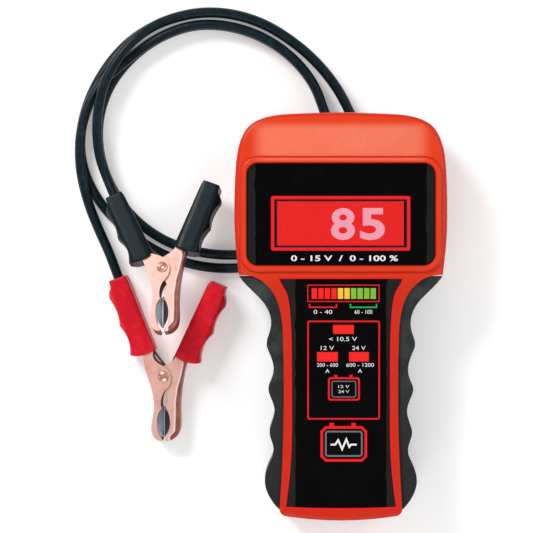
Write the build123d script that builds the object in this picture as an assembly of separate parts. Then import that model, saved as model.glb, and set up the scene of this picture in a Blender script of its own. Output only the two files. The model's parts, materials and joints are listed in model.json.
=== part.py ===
"""Handheld battery tester with two clamp leads, lying on its back.

Millimetres. The origin is under the middle of the tester, on the surface that it lies on: +Y runs
to the head, +Z comes out of the display face. Every sub-part is written to parts/NODE.step.
"""
from build123d import *
import math
import os

# ---- Driving dimensions --------------------------------------------------------------------
HEAD_TOP = 122.7          # top and bottom ends of the case, from the origin
CASE_END = -122.7
HEAD_HALF = 64.0          # widest half width, at the head
NECK_HALF = 34.6          # half width of the case between the rubber grips
FACE = 46.0               # display face above the surface
ROOF = 43.0               # inside of the front wall
PART_LINE = 24.0          # where the two case halves meet
HEAD_BACK = 16.0          # the head's back stands clear of the surface, for the leads
STEP_Y = 22.0             # the step in the back, between handle and head
WALL = 2.5
BEAD_WIDTH = 4.3          # raised bead round the display window
BEAD_HEIGHT = 2.0
GRIP_LOW, GRIP_HIGH = 1.5, 44.0
GRIP_END = -116.7         # lower end of the rubber grips

WINDOW = (-56.7, 30.6, 56.7, 92.1)        # x0, y0, x1, y1 of the display window
WINDOW_RADIUS = 7.0
LENS_THICK = 1.8
FIELD = (-38.4, 42.3, 37.8, 69.6)         # the red display field in the window
OVERLAY_THICK = 0.8
GRAPHICS_X = 1.7                          # the keypad's own centre line

BOARD_Z = 30.0
BOARD_THICK = 1.6
BUTTON_TRAVEL = 1.0
FLANGE_THICK = 1.3
CAP_PROUD = 0.9
TEST_BUTTON = (GRAPHICS_X, -76.4, 24.0, 17.0)        # centre x, y, width, height
SELECTOR_BUTTON = (GRAPHICS_X, -43.6, 16.2, 11.2)
BAR_COUNT = 10
BAR_PITCH = 3.93
BAR_SIZE = (3.3, 6.6)
BAR_Y = 13.8
LAMPS = [(1.5, -7.8, 12.6, 5.4), (-8.1, -24.2, 12.6, 5.8), (10.8, -24.2, 12.0, 5.8)]

CORD = 6.0                                # lead diameter
LOW_Z = 3.1                               # axis of a lead that lies on the surface
EXIT_Z = 7.8                              # axis of the leads in their grommets
BLACK_EXIT_X, RED_EXIT_X = 28.0, 14.0
GROMMET_END = 38.0                        # tip of the strain relief

SHEET = 1.2                               # clamp metal
JAW_DEPTH = 13.0                          # outer jaw half, across the clamp
INNER_DEPTH = JAW_DEPTH - 2 * SHEET - 0.4
RIVET_RADIUS = 2.5
GRIP_THICK = 15.0
METAL_SHORT = 10.0                        # the channel ends this far inside its grip
CLAMP_ROLL = 5.0

os.makedirs("parts", exist_ok=True)


# ---- Helpers -------------------------------------------------------------------------------
def prism(shape, low, high):
    """A flat outline pulled up from one height to another."""
    face = shape.face()
    if face.normal_at().Z < 0:
        face = -face
    return Pos(0, 0, low) * extrude(face, amount=high - low)


def slab(x0, y0, x1, y1, low, high, radius=0.0):
    """A plate with square or rounded corners."""
    width, height = x1 - x0, y1 - y0
    flat = RectangleRounded(width, height, radius) if radius else Rectangle(width, height)
    return prism(Pos((x0 + x1) / 2, (y0 + y1) / 2) * flat, low, high)


def peg(x, y, radius, low, high):
    """An upright cylinder."""
    return Pos(x, y, (low + high) / 2) * Cylinder(radius, high - low)


def mirrored(edges):
    """The right half of an outline and its mirror image, as one face."""
    return make_face(edges + [mirror(edge, about=Plane.YZ) for edge in edges])


def save(node, *solids):
    """Writes one sub-part, of one or more separate solids."""
    shape = solids[0] if len(solids) == 1 else Compound(children=list(solids))
    export_step(shape, f"parts/{node}.step")


# ---- Outlines of the case ------------------------------------------------------------------
SIDE = [(0, HEAD_TOP), (24, 122.0), (44, 120), (55, 114.6), (60.6, 105), (63.2, 90), (HEAD_HALF, 66),
        (63.4, 44), (61, 22), (59, 0)]
GRIP_EDGE = [(70, 26), (61, 25), (53.6, 24.2), (47.2, 21), (41.2, 14.8), (37.6, 7.5), (35.6, -1.5), (34.8, -12)]


def shifted(points, distance, first, last):
    """Points moved to the right of the way they run, by one distance. first and last are end directions."""
    out = []
    for i, (x, y) in enumerate(points):
        if i == 0:
            dx, dy = first
        elif i == len(points) - 1:
            dx, dy = last
        else:
            dx, dy = points[i + 1][0] - points[i - 1][0], points[i + 1][1] - points[i - 1][1]
        size = math.hypot(dx, dy)
        out.append((x + dy / size * distance, y - dx / size * distance))
    return out


def head_face(inset=0.0):
    """The head alone, its sides running straight on past the tips over the grips."""
    start, finish = (1, 0), (-0.1, -1)
    points = shifted(SIDE, inset, start, finish)
    side = Spline(points, tangents=[start, finish])
    return mirrored([side, Line(points[-1], (0, points[-1][1]))])


def grip_zone(inset=0.0):
    """Everything outside the case beside the handle, on the right."""
    start, finish = (-1, -0.1), (-0.03, -1)
    edge = shifted(GRIP_EDGE, inset, start, finish)
    low = (36.9 - inset, GRIP_END)
    return make_face([
        Spline(edge, tangents=[start, finish]),
        ThreePointArc(edge[-1], (NECK_HALF - 0.2 - inset, -60), low),
        Line(low, (80, GRIP_END)),
        Line((80, GRIP_END), (80, edge[0][1])),
        Line((80, edge[0][1]), edge[0]),
    ])


def case_face(inset=0.0):
    """The whole case outline: the head, less the grips' room, and the handle down to its round end."""
    corner, low = 36.9 - inset, GRIP_END
    bottom = CASE_END + inset
    end = mirrored([
        Line((0, 5), (45, 5)),
        Line((45, 5), (corner, low)),
        ThreePointArc((corner, low), (corner - 1.3, bottom + 3.8), (corner - 4.4, bottom + 2.5)),
        ThreePointArc((corner - 4.4, bottom + 2.5), (corner / 2 - 2, bottom + 0.65), (0, bottom)),
    ])
    right = grip_zone(inset)
    return head_face(inset) + end - right - mirror(right, about=Plane.YZ)


def inner_face():
    """The room inside the case's walls."""
    return case_face(WALL)


SCREWS = [(-53, 103), (53, 103), (-29, -108), (29, -108), (-54, 32), (54, 32)]
BOARD_SCREWS = [(-49, 98), (49, 98), (-24, -94), (24, -94)]


# ---- Case ----------------------------------------------------------------------------------
def rim(block, height, low_y, high_y):
    """The edges of a block that lie at one height, between two Ys."""
    return [e for e in block.edges() if abs(e.center().Z - height) < 0.01 and low_y < e.center().Y < high_y]


def rounded_block(low, high, split_y, round_z, radius):
    """The case's outline pulled up, rounded at one height round the head and the bottom end."""
    head = prism(head_face(), min(low, high), max(low, high))
    head = fillet(rim(head, round_z, 1, 200), radius)
    head &= prism(case_face(), low - 1, high + 1)
    end = prism(case_face(), low, high) & slab(-90, -140, 90, split_y, low - 1, high + 1)
    return head, fillet(rim(end, round_z, -200, -117.5), 2.4)


def front_case():
    """The upper shell, with the bead, the lens seat, the keypad recess and its openings."""
    head, end = rounded_block(PART_LINE, FACE, 25.0, FACE, 2.8)
    body = head + end
    body -= prism(inner_face(), PART_LINE - 1, ROOF)
    x0, y0, x1, y1 = WINDOW
    ring = slab(x0 - BEAD_WIDTH, y0 - BEAD_WIDTH, x1 + BEAD_WIDTH, y1 + BEAD_WIDTH, ROOF + 0.5,
                FACE + BEAD_HEIGHT, WINDOW_RADIUS + BEAD_WIDTH)
    ring = fillet([e for e in ring.edges() if abs(e.center().Z - FACE - BEAD_HEIGHT) < 0.01], 1.9)
    body += ring
    body -= slab(x0, y0, x1, y1, FACE - LENS_THICK, FACE + 9, WINDOW_RADIUS)
    mouth = [e for e in body.edges() if abs(e.center().Z - FACE - BEAD_HEIGHT) < 0.01 and x0 - 1 < e.center().X < x1 + 1]
    if mouth:
        body = fillet(mouth, 1.2)
    body -= slab(x0 + 3, y0 + 3, x1 - 3, y1 - 3, ROOF - 1, FACE + 9, WINDOW_RADIUS - 3)
    body -= prism(overlay_face(), FACE - OVERLAY_THICK, FACE + 1)
    for x, y, width, height in (TEST_BUTTON, SELECTOR_BUTTON):
        body -= slab(x - width / 2 - 0.3, y - height / 2 - 0.3, x + width / 2 + 0.3, y + height / 2 + 0.3,
                     ROOF - 1, FACE + 1, 2.5)
    for x, y, width, height in LAMPS + bar_places():
        body -= slab(x - width / 2, y - height / 2, x + width / 2, y + height / 2, ROOF - 1, FACE + 1)
    for x, y in SCREWS:
        body += peg(x, y, 3.6, PART_LINE, ROOF + 0.5)
        body -= peg(x, y, 1.5, PART_LINE - 1, PART_LINE + 14)
    for x, y in BOARD_SCREWS:
        body += peg(x, y, 3.0, BOARD_Z + BOARD_THICK, ROOF + 0.5)
        body -= peg(x, y, 1.25, BOARD_Z, BOARD_Z + BOARD_THICK + 8)
    return body


def rear_case():
    """The lower shell: a deep handle, and a head that stands clear of the surface on two posts."""
    head, _ = rounded_block(HEAD_BACK, PART_LINE, 25.0, HEAD_BACK, 2.8)
    _, handle = rounded_block(0, PART_LINE, STEP_Y, 0, 2.8)
    body = (head & slab(-90, 5, 90, 130, 0, PART_LINE)) + handle
    inner = inner_face()
    body -= prism(inner, HEAD_BACK + WALL, PART_LINE + 1)
    body -= prism(inner, WALL, PART_LINE + 1) & slab(-90, -140, 90, STEP_Y - WALL, 0, 60)
    for side in (-1, 1):
        post = Pos(side * 46, 104, (1.5 + HEAD_BACK) / 2) * Cone(6.0, 7.5, HEAD_BACK - 1.5)
        body += post
    for x, y in SCREWS:
        floor = HEAD_BACK if y > STEP_Y else 0.0
        body += peg(x, y, 3.6, floor + 0.5, PART_LINE)
        body -= peg(x, y, 1.7, floor - 1, PART_LINE + 1)
        body -= peg(x, y, 3.0, floor - 1, screw_seat(y))
    for x in (BLACK_EXIT_X, RED_EXIT_X):
        body -= Pos(x, STEP_Y - WALL / 2, EXIT_Z) * Rot(90, 0, 0) * Cylinder(4.2, WALL + 2)
    return body


def screw_seat(y):
    """Height of the shoulder that a case screw's head sits on."""
    return HEAD_BACK + 2.6 if y > STEP_Y else 14.0


def case_screws():
    """Six pan-head screws, put in from the back."""
    out = []
    for x, y in SCREWS:
        seat = screw_seat(y)
        head = peg(x, y, 2.8, seat - 2.0, seat) - slab(x - 2, y - 0.4, x + 2, y + 0.4, seat - 3, seat - 1.1)
        out.append(head + peg(x, y, 1.5, seat, PART_LINE + 9))
    return out


def head_feet():
    """Rubber pads under the two posts."""
    return [peg(side * 46, 104, 5.6, 0, 1.5) for side in (-1, 1)]


# ---- Rubber grips --------------------------------------------------------------------------
GRIP_WAVES = [
    (61.2, 24.3), (52.6, 14.7), (44.4, 5.1), (41.9, -4.5), (43.2, -11), (44.6, -17), (42.8, -22.5),
    (40.4, -33), (41.8, -38.5), (43.5, -43.5), (42, -49), (39.8, -57.3), (41.4, -64), (42.8, -70),
    (41.4, -75.5), (40.4, -81.3), (43, -88.5), (45.6, -100.5), (42.6, -109), (36.8, -116.2),
]


def grip(side):
    """One side grip: waves for the fingers outside, the case's own side inside."""
    outside = [Spline(GRIP_WAVES), Line((36.8, -116.2), (30, -116.2)), Line((30, -116.2), (30, 24.3)),
               Line((30, 24.3), (61.2, 24.3))]
    block = prism(make_face(outside), GRIP_LOW, GRIP_HIGH)
    block -= prism(case_face(), GRIP_LOW - 1, GRIP_HIGH + 1)
    block = max(block.solids(), key=lambda solid: solid.volume)
    block -= slab(47, 0, 70, 30, -1, HEAD_BACK)
    return block if side > 0 else mirror(block, about=Plane.YZ)


# ---- Face: lens, display, keypad -----------------------------------------------------------
def display_window():
    """Black lens with an opening for the red filter."""
    x0, y0, x1, y1 = WINDOW
    lens = slab(x0 + 0.1, y0 + 0.1, x1 - 0.1, y1 - 0.1, FACE - LENS_THICK, FACE, WINDOW_RADIUS)
    return lens - slab(*FIELD, FACE - LENS_THICK - 1, FACE + 1)


def display_filter():
    """Red filter that fills the lens's opening."""
    return slab(*FIELD, FACE - LENS_THICK, FACE)


def display_module():
    """Three-digit display block between the board and the filter."""
    x0, y0, x1, y1 = FIELD
    return slab(x0 + 1, y0 + 1, x1 - 1, y1 - 1, BOARD_Z + BOARD_THICK, FACE - LENS_THICK - 0.4)


def overlay_face():
    """The keypad's outline: waisted, and splayed at its lower end."""
    right = [
        Line((0, 23.7), (38.0, 23.7)),
        Spline([(38.0, 23.7), (37.2, 20), (34.0, 14.5), (32.2, 7.5), (31.2, -4)], tangents=[(0, -1), (-0.06, -1)]),
        Spline([(31.2, -4), (30.6, -40), (30.7, -76), (32.0, -97), (34.3, -115.4)], tangents=[(-0.06, -1), (0.13, -1)]),
        ThreePointArc((34.3, -115.4), (17, -116), (0, -116.2)),
    ]
    return mirrored(right)


def bar_places():
    """Centre and size of each segment of the bar."""
    first = GRAPHICS_X - BAR_PITCH * (BAR_COUNT - 1) / 2
    return [(first + i * BAR_PITCH, BAR_Y, *BAR_SIZE) for i in range(BAR_COUNT)]


def light_window(place, gap=0.05):
    """A small diffuser, flush with the keypad."""
    x, y, width, height = place
    width, height = width / 2 - gap, height / 2 - gap
    return slab(x - width, y - height, x + width, y + height, ROOF, FACE)


def keypad_overlay():
    """Printed keypad sheet with openings for the buttons and the light windows."""
    sheet = prism(overlay_face(), FACE - OVERLAY_THICK, FACE)
    for x, y, width, height in (TEST_BUTTON, SELECTOR_BUTTON):
        sheet -= slab(x - width / 2 - 0.3, y - height / 2 - 0.3, x + width / 2 + 0.3, y + height / 2 + 0.3,
                      ROOF, FACE + 1, 2.5)
    for x, y, width, height in LAMPS + bar_places():
        sheet -= slab(x - width / 2, y - height / 2, x + width / 2, y + height / 2, ROOF, FACE + 1)
    return sheet


def button(place):
    """A key cap with its flange under the front wall and a stem down to its dome."""
    x, y, width, height = place
    cap = slab(x - width / 2, y - height / 2, x + width / 2, y + height / 2, ROOF - 1, FACE + CAP_PROUD, 2.3)
    cap = fillet([e for e in cap.edges() if abs(e.center().Z - FACE - CAP_PROUD) < 0.01], 0.5)
    top = ROOF - 0.1
    flange = slab(x - width / 2 - 1.4, y - height / 2 - 1.4, x + width / 2 + 1.4, y + height / 2 + 1.4,
                  top - FLANGE_THICK, top, 3.0)
    return cap + flange + peg(x, y, 2.6, DOME_TOP, top)


DOME_TOP = 37.0


def dome(place):
    """Rubber dome that returns the button."""
    x, y = place[:2]
    low = BOARD_Z + BOARD_THICK
    middle = (low + DOME_TOP) / 2
    shell = Pos(x, y, middle) * Cone(5.5, 2.8, DOME_TOP - low)
    return shell - Pos(x, y, middle - 0.6) * Cone(4.5, 1.8, DOME_TOP - low - 1.2)


# ---- Electronics ---------------------------------------------------------------------------
def main_board():
    """One board for the display in the head and the keypad in the handle."""
    low, high = BOARD_Z, BOARD_Z + BOARD_THICK
    board = slab(-56, 37.5, 56, 108, low, high, 6) + slab(-29, -100, 29, 60, low, high, 3)
    for x, y in SCREWS:
        board -= peg(x, y, 4.4, low - 1, high + 1)
    for x, y in BOARD_SCREWS:
        board -= peg(x, y, 1.5, low - 1, high + 1)
    return board


def board_screws():
    """Four short screws that hold the board up to the front shell."""
    out = []
    for x, y in BOARD_SCREWS:
        out.append(peg(x, y, 2.4, BOARD_Z - 1.6, BOARD_Z) + peg(x, y, 1.25, BOARD_Z, BOARD_Z + BOARD_THICK + 6))
    return out


def board_parts():
    """Controller, crystal can and filter capacitors on the back of the board."""
    chip = slab(-9, 66, 9, 84, BOARD_Z - 2, BOARD_Z)
    crystal = slab(16, 70, 27, 75, BOARD_Z - 3.5, BOARD_Z, 2)
    caps = [peg(x, 92, 4.0, BOARD_Z - 9, BOARD_Z) for x in (-30, -18)]
    driver = slab(-8, 8, 8, 15, BOARD_Z - 2.5, BOARD_Z)
    return [chip, crystal, driver] + caps


def bar_array():
    """Light-emitting block behind the bar's windows."""
    half = BAR_PITCH * BAR_COUNT / 2
    return slab(GRAPHICS_X - half, BAR_Y - 4.5, GRAPHICS_X + half, BAR_Y + 4.5, BOARD_Z + BOARD_THICK, ROOF - 0.5)


def lamp_emitters():
    """One small emitter behind each indicator window."""
    return [slab(x - 3, y - 2, x + 3, y + 2, BOARD_Z + BOARD_THICK, ROOF - 1.5) for x, y, _, _ in LAMPS]


def contact_pads():
    """Carbon pads under the two domes."""
    return [peg(x, y, 1.6, BOARD_Z + BOARD_THICK, BOARD_Z + BOARD_THICK + 0.4)
            for x, y, _, _ in (TEST_BUTTON, SELECTOR_BUTTON)]


def load_resistor():
    """Finned resistor for the test load, on the floor of the handle."""
    body = slab(-15, -58, 15, -10, WALL, 17)
    for i in range(6):
        y = -53.5 + i * 7.5
        body -= slab(-16, y, 16, y + 2.5, 9, 18)
    return body


def resistor_clamps():
    """Two metal bands that hold the resistor down."""
    bands = []
    for y in (-62.5, -7.5):
        foot = slab(-15, y - 2.4, 15, y + 2.4, WALL, WALL + 1.5)
        bands.append(foot)
    return bands


def terminal_block():
    """Screw block where both leads end."""
    block = slab(7, 6.5, 33.6, 15.5, WALL, 12.5)
    for x in (RED_EXIT_X, BLACK_EXIT_X):
        block -= peg(x, 11, 2.0, 10.5, 13)
    return block


def terminal_screws():
    """The block's two screws."""
    return [peg(x, 11, 1.9, 10.5, 12.2) - slab(x - 3, 10.6, x + 3, 11.4, 11.5, 13)
            for x in (RED_EXIT_X, BLACK_EXIT_X)]


def grommet(x):
    """Rubber bush in the step wall with a tapered strain relief."""
    inner = Cylinder(5.2, 2.0, align=(Align.CENTER, Align.CENTER, Align.MIN))
    neck = Pos(0, 0, 2.0) * Cylinder(4.2, WALL, align=(Align.CENTER, Align.CENTER, Align.MIN))
    taper = GROMMET_END - STEP_Y
    nose = Pos(0, 0, 2.0 + WALL) * Cone(5.4, 4.1, taper, align=(Align.CENTER, Align.CENTER, Align.MIN))
    bush = inner + neck + nose
    bush -= Cylinder(CORD / 2 + 0.02, 2 * taper + 20)
    for i in range(4):
        ring = Pos(0, 0, 2.0 + WALL + 3.0 + i * 3.6) * (Cylinder(7, 1.1) - Cylinder(3.9, 1.1))
        bush -= ring
    return Pos(x, STEP_Y - WALL - 2.0, EXIT_Z) * Rot(-90, 0, 0) * bush


# ---- Leads ---------------------------------------------------------------------------------
BLACK_ROUTE = [
    (28, 15.5, 7.8), (28, 50, 7.8), (26.5, 75, 3.4), (19, 99, 3.1), (7.5, 122, 3.1), (-4.5, 144, 3.1),
    (-23.5, 164, 3.1), (-49.5, 180.5, 3.1), (-79, 186.3, 3.1), (-108, 180.5, 3.1), (-131.5, 166, 3.1),
    (-149, 142.5, 3.1), (-158, 117.5, 3.1), (-158.5, 94, 3.1), (-149, 71.5, 3.1), (-132.5, 53.5, 3.1),
    (-110, 37.5, 3.1), (-84.5, 29.3, 3.1), (-58, 28.6, 4.2), (-31, 34, 7.6), (-9, 47, 9.7),
    (6.5, 68, 9.7), (14.5, 94, 9.7), (7.5, 122, 9.7), (-4.5, 144, 9.7),
    (-23.5, 164, 9.7), (-49.5, 180.5, 9.7), (-79, 186.3, 9.7), (-107, 180.5, 10.2), (-126.8, 167.5, 16.4),
    (-142, 146.5, 16.4), (-148, 123, 14.0), (-147.5, 101, 11.4), (-142.4, 84.6, 10.8), (-132.8, 63.5, 16.6),
]
RED_ROUTE = [
    (14, 15.5, 7.8), (14, 50, 7.8), (11, 75, 3.4), (2.5, 99, 3.1), (-8.5, 122, 3.1), (-16.5, 144, 3.1),
    (-35, 163.5, 3.1), (-59.5, 175.5, 3.1), (-87, 178.5, 3.1), (-112, 169.5, 3.1), (-130.5, 154.5, 3.1),
    (-143, 136.5, 3.1), (-148.5, 113.5, 3.1), (-144.8, 88.5, 3.1), (-131.5, 64.5, 3.1), (-111.5, 47.3, 3.1),
    (-87, 38.2, 3.1), (-61, 36.4, 4.2), (-36, 41.5, 7.4), (-17, 57, 9.7), (-7, 79, 9.7),
    (-3.5, 100, 9.7), (-8.5, 122, 9.7), (-16.5, 144, 9.7), (-35, 163.5, 9.7), (-59.5, 175.5, 9.7),
    (-87, 178.5, 9.7), (-112, 169.5, 9.7), (-132.5, 153.5, 9.7), (-149, 138.5, 9.7), (-158, 115.5, 9.7),
    (-158.8, 91.5, 9.6), (-154, 70, 7.3), (-146.6, 51.5, 6.9), (-139.4, 36.5, 9.4), (-131.5, 13.9, 9.1),
]


def cord_radii(route):
    """The largest arc that each corner of a route has room for."""
    points = [Vector(*p) for p in route]
    radii = []
    for before, here, after in zip(points, points[1:], points[2:]):
        turn = (here - before).get_angle(after - here)
        shorter = min((here - before).length, (after - here).length)
        radii.append(0.45 * shorter / math.tan(math.radians(turn / 2)))
    return radii


def lead(name, route):
    """A round lead along straight runs and tangent arcs."""
    radii = cord_radii(route)
    path = FilletPolyline(*route, radius=radii)
    start = Plane(origin=route[0], z_dir=Vector(*route[1]) - Vector(*route[0]))
    solid = sweep(start * Circle(CORD / 2), path=path)
    print(name, "length", round(path.length, 1), "smallest radius", round(min(radii), 1))
    print(name, "radii", [round(r) for r in radii])
    print(name, "volume over section times length", round(solid.volume / (math.pi * 9 * path.length), 4))
    return solid


# ---- Clamps --------------------------------------------------------------------------------
class Handle:
    """One handle of a clamp: its angle from the clamp's axis, where its grip starts, the grip's length."""

    def __init__(self, side, degrees, start, length):
        self.side = side
        self.angle = math.radians(degrees)
        self.start = start
        self.length = length

    def at(self, up, out):
        """A point in the clamp's frame, from a height along the grip and a distance outwards."""
        sine, cosine = math.sin(self.angle), math.cos(self.angle)
        return (self.start[0] + sine * up + self.side * cosine * out,
                self.start[1] + cosine * up - self.side * sine * out)

    def metal(self):
        """Corners of the channel inside the grip: lower outer, upper outer, upper inner, lower inner."""
        end = self.length - METAL_SHORT
        return [self.at(0, 0.4), self.at(end, 4.4), self.at(end, -4.4), self.at(0, -6.4)]


def channel(outline, depth, shift):
    """A stamped half: two walls and the web along its outer side."""
    block = prism(outline, -depth / 2, depth / 2)
    block -= Pos(shift, 0.5, 0) * prism(outline, -depth / 2 + SHEET, depth / 2 - SHEET)
    return max(block.solids(), key=lambda solid: solid.volume)


def half_face(handle, ear, gap, back):
    """Outline of one half: handle, ear round the rivet, the gap's curved edge, the jaw's back."""
    low_out, high_out, high_in, low_in = handle.metal()
    return make_face([
        Line(low_out, high_out),
        Line(high_out, high_in),
        Line(high_in, low_in),
        Spline([low_in] + ear),
        Spline(gap),
        Line(gap[-1], back[0]),
        Spline(back + [low_out]),
    ])


def outer_half(handle):
    """The half that holds the lead: its ears are outside at the rivet."""
    ear = [(-1.4, 6.9), (2.2, 4.6), (4.4, 0.6), (3.7, -5.0), (0.4, -9.4), (-1.4, -14), (-1.1, -19.6)]
    gap = [(-1.1, -19.6), (-3.6, -24), (-4.0, -29), (-3.4, -34), (-0.9, -38.0)]
    back = [(-1.2, -39.4), (-4.4, -38.6), (-7.1, -34.5), (-7.3, -29.5), (-5.9, -21), (-6.2, -12.5), (-8.6, -3.5)]
    return half_face(handle, ear, gap, back)


def inner_half(handle):
    """The half that swings: nested between the other's ears."""
    ear = [(2.4, 7.6), (-1.6, 5.0), (-4.4, 1.0), (-3.2, -4.4), (2.4, -9.4), (2.6, -14.5), (1.1, -19.6)]
    gap = [(1.1, -19.6), (3.4, -24), (3.9, -29), (3.4, -34), (0.9, -38.0)]
    back = [(1.2, -39.4), (5.6, -38.4), (9.0, -34.5), (9.9, -29.5), (9.7, -21), (10.0, -13.5), (11.0, -5)]
    return half_face(handle, ear, gap, back)


def teeth(side, depth):
    """Toothed contact strip along one side of the jaws' gap."""
    edge = [(-1.3, -20.4), (-3.7, -24.6), (-4.1, -29), (-3.6, -33.6), (-1.5, -37.2)]
    back = [(x - 1.0, y) for x, y in reversed(edge)]
    face = make_face([Spline(edge), Line(edge[-1], back[0]), Spline(back), Line(back[-1], edge[0])])
    strip = prism(face, -depth / 2 + SHEET, depth / 2 - SHEET)
    return strip if side < 0 else mirror(strip, about=Plane.YZ)


def clamp_grip(handle, outline, depth, bored):
    """A handle's rubber sleeve: a flared lower end and two crests outside, a collar at its end."""
    length = handle.length
    profile = make_face([
        Line((-7.6, -0.8), (-5.6, length - 3)),
        Line((-5.6, length - 3), (-4.9, length)),
        Line((-4.9, length), (5.6, length)),
        Line((5.6, length), (5.9, length - 4.5)),
        ThreePointArc((5.9, length - 4.5), (8.3, 0.85 * length), (9.4, 0.775 * length)),
        ThreePointArc((9.4, 0.775 * length), (7.3, 0.6 * length), (8.9, 0.41 * length)),
        ThreePointArc((8.9, 0.41 * length), (6.2, 0.22 * length), (8.8, 0.02 * length)),
        ThreePointArc((8.8, 0.02 * length), (1, -1.6), (-7.6, -0.8)),
    ])
    section = Plane.XZ * Pos(0.6, 0) * SlotOverall(22.0, GRIP_THICK)
    sleeve = prism(profile, -GRIP_THICK / 2, GRIP_THICK / 2) & extrude(section, amount=length + 5, both=True)
    if bored:
        sleeve -= Pos(0, length, 0) * Rot(90, 0, 0) * Cylinder(CORD / 2 + 0.2, 2 * METAL_SHORT + 1)
    if handle.side < 0:
        sleeve = mirror(sleeve, about=Plane.YZ)
    sleeve = Pos(*handle.start) * Rot(0, 0, -math.degrees(handle.angle)) * sleeve
    return sleeve - prism(outline, -depth / 2, depth / 2)


def rivet():
    """Tubular rivet with a rolled head on each side."""
    half = JAW_DEPTH / 2
    body = Cylinder(RIVET_RADIUS, JAW_DEPTH + 1.2)
    for side in (-1, 1):
        body += Pos(0, 0, side * (half + 0.4)) * Cylinder(3.4, 0.8)
    return body - Cylinder(1.2, JAW_DEPTH + 4)


def clamp_spring(handles):
    """Torsion spring round the rivet, its arms along the two handles."""
    spring = Cylinder(4.2, 6.0) - Cylinder(RIVET_RADIUS + 0.3, 7.0)
    for handle, height in zip(handles, (-2.2, 2.2)):
        arm = Pos(-handle.side * 3.4, 13.5, height) * Rot(90, 0, 0) * Cylinder(0.75, 25)
        spring += Rot(0, 0, -math.degrees(handle.angle)) * arm
    return spring


# ---- Where the clamps lie ------------------------------------------------------------------
def clamp(name, rivet_at, tilt, left, right):
    """Every piece of one clamp, where it lies. The left half holds the lead, the right one swings."""
    location = Pos(*rivet_at) * Rot(tilt, 0, 0) * Rot(0, -CLAMP_ROLL, 0)
    pieces = {
        "cable_jaw": channel(outer_half(left), JAW_DEPTH, SHEET) - Cylinder(RIVET_RADIUS, 40),
        "free_jaw": channel(inner_half(right), INNER_DEPTH, -SHEET) - Cylinder(RIVET_RADIUS + 0.05, 40),
        "cable_teeth": teeth(-1, JAW_DEPTH),
        "free_teeth": teeth(1, INNER_DEPTH),
        "cable_grip": clamp_grip(left, outer_half(left), JAW_DEPTH, True),
        "free_grip": clamp_grip(right, inner_half(right), INNER_DEPTH, False),
        "rivet": rivet(),
        "spring": clamp_spring((left, right)),
    }
    for height in (left.length - METAL_SHORT + 0.1, left.length, left.length + 14):
        print(name, "lead at", [round(v, 1) for v in (location * Pos(*left.at(height, 0))).position])
    return {f"{name}_{piece}": location * solid for piece, solid in pieces.items()}


CLAMPS = {
    "black": ((-107.2, 28.3, 27.2), -13.2,
              Handle(-1, -23.7, (-12.2, 5.9), 43.5), Handle(1, 21.0, (14.2, 11.2), 43.5)),
    "red": ((-106.8, -36.5, 9.1), 2.5,
            Handle(-1, -19.3, (-12.2, 14.4), 48.0), Handle(1, 22.7, (13.9, 10.4), 49.5)),
}


# ---- Everything ----------------------------------------------------------------------------
def tester():
    """Every piece of the tester itself."""
    bars = [light_window(place) for place in bar_places()]
    return {
        "front_case": [front_case()],
        "rear_case": [rear_case()],
        "case_screws": case_screws(),
        "head_feet": head_feet(),
        "left_grip": [grip(-1)],
        "right_grip": [grip(1)],
        "display_window": [display_window()],
        "display_filter": [display_filter()],
        "display_module": [display_module()],
        "keypad_overlay": [keypad_overlay()],
        "bar_windows_red": bars[:4],
        "bar_windows_amber": bars[4:6],
        "bar_windows_green": bars[6:],
        "lamp_windows": [light_window(place) for place in LAMPS],
        "bar_array": [bar_array()],
        "lamp_emitters": lamp_emitters(),
        "test_button": [button(TEST_BUTTON)],
        "selector_button": [button(SELECTOR_BUTTON)],
        "test_dome": [dome(TEST_BUTTON)],
        "selector_dome": [dome(SELECTOR_BUTTON)],
        "contact_pads": contact_pads(),
        "main_board": [main_board()],
        "board_screws": board_screws(),
        "board_parts": board_parts(),
        "load_resistor": [load_resistor()],
        "resistor_clamps": resistor_clamps(),
        "terminal_block": [terminal_block()],
        "terminal_screws": terminal_screws(),
        "black_lead_grommet": [grommet(BLACK_EXIT_X)],
        "red_lead_grommet": [grommet(RED_EXIT_X)],
    }


for node, solids in tester().items():
    save(node, *solids)
for name, place in CLAMPS.items():
    for node, solid in clamp(name, *place).items():
        save(node, solid)
save("black_lead", lead("black_lead", BLACK_ROUTE))
save("red_lead", lead("red_lead", RED_ROUTE))
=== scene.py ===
"""Battery tester with clamp leads, finished round its CAD frame."""
import json
from math import cos, pi, radians, sin

import bmesh
import bpy
from mathutils import Matrix, Vector


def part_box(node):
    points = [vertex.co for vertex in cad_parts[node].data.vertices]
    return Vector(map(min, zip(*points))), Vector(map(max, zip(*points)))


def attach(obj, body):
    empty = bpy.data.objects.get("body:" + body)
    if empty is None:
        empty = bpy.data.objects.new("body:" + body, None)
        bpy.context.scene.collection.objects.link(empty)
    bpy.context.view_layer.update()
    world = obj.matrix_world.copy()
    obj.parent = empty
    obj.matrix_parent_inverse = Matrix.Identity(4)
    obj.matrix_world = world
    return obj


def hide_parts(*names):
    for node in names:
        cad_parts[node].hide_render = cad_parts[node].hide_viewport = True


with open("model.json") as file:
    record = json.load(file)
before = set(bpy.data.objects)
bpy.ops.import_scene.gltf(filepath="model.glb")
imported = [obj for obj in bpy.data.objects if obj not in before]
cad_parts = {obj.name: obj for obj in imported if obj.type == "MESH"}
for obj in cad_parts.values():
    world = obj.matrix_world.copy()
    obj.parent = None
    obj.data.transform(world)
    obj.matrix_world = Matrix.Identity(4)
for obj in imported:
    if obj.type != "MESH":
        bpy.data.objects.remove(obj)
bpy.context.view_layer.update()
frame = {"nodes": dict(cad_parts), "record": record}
nodes = frame["nodes"]

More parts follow.
